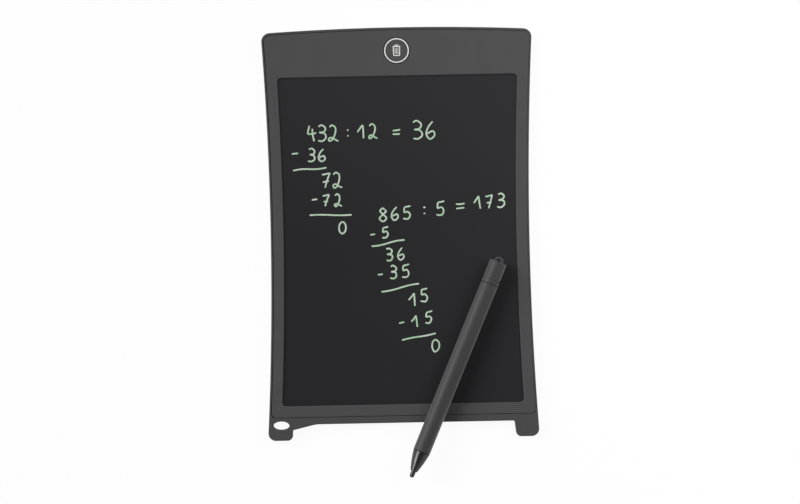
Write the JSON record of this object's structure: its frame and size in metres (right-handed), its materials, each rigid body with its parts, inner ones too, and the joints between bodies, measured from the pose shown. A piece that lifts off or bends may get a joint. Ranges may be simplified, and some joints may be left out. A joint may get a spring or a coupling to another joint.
{
  "type": "lcd writing tablet",
  "caption": "Slim LCD writing tablet with bowed sides, short feet, lanyard eye, round erase button, battery door and erase lock, and a cone-tipped pen with a cord loop lying on it.",
  "frame": {"origin": "middle of the flat back, halfway along the body between the top edge and the feet", "axes": "+X right seen from the front, +Y towards the erase button, +Z out of the screen"},
  "size_m": [0.1454, 0.2413, 0.0147],
  "materials": {
    "shell_plastic": "fine spark-textured charcoal grey",
    "key_plastic": "satin charcoal grey with a printed white ring",
    "lock_plastic": "satin black",
    "writing_film": "dark film with a hard satin coat",
    "backing_film": "black coated film",
    "tape": "black double-sided tape",
    "support_card": "stiff grey board",
    "foam": "white foam tape",
    "flex_film": "amber flex film",
    "board_laminate": "green solder mask",
    "steel": "plated steel",
    "contact_metal": "gold-coloured spring bronze",
    "moulded_epoxy": "black moulded epoxy",
    "inductor_core": "grey ferrite",
    "ceramic": "tan ceramic",
    "pen_plastic": "satin charcoal grey",
    "pen_tip_gloss": "glossy black",
    "pen_nib": "hard black plastic"
  },
  "bodies": {
    "tablet": {"rear_cover": "shell_plastic", "front_bezel": "shell_plastic", "writing_film": "writing_film", "backing_film": "backing_film", "film_tape_frame": "tape", "support_board": "support_card", "foam_strip_left": "foam", "foam_strip_middle": "foam", "foam_strip_right": "foam", "film_tail": "flex_film", "circuit_board": "board_laminate", "board_screw_left": "steel", "board_screw_right": "steel", "coin_cell": "steel", "erase_switch_body": "steel", "cell_contact_minus": "contact_metal", "cell_contact_plus": "contact_metal", "pulse_controller": "moulded_epoxy", "rectifier_diode": "moulded_epoxy", "boost_inductor": "inductor_core", "pulse_capacitor": "ceramic", "supply_capacitor": "ceramic"},
    "erase_key": {"erase_button": "key_plastic", "erase_switch_plunger": "moulded_epoxy"},
    "battery_hatch": {"battery_door": "shell_plastic", "door_screw_left": "steel", "door_screw_right": "steel"},
    "erase_lock": {"lock_slider": "lock_plastic", "lock_wiper": "contact_metal"},
    "pen": {"pen_barrel": "pen_plastic", "pen_tip_cone": "pen_tip_gloss", "pen_nib": "pen_nib", "pen_end_cap": "pen_plastic"}
  },
  "joints": [
    {"name": "erase_button_press", "type": "slide", "parent": "tablet", "child": "erase_key", "axis": [0, 0, -1], "range_m": [0, 0.0004], "stiffness_N_per_m": 500, "springref_m": -0.001},
    {"name": "battery_door_lift", "type": "slide", "parent": "tablet", "child": "battery_hatch", "axis": [0, 0, -1], "range_m": [0, 0.012]},
    {"name": "erase_lock_slide", "type": "slide", "parent": "tablet", "child": "erase_lock", "axis": [1, 0, 0], "range_m": [0, 0.002]},
    {"name": "pen_lift", "type": "slide", "parent": "tablet", "child": "pen", "axis": [0, 0, 1], "range_m": [0, 0.06]}
  ]
}
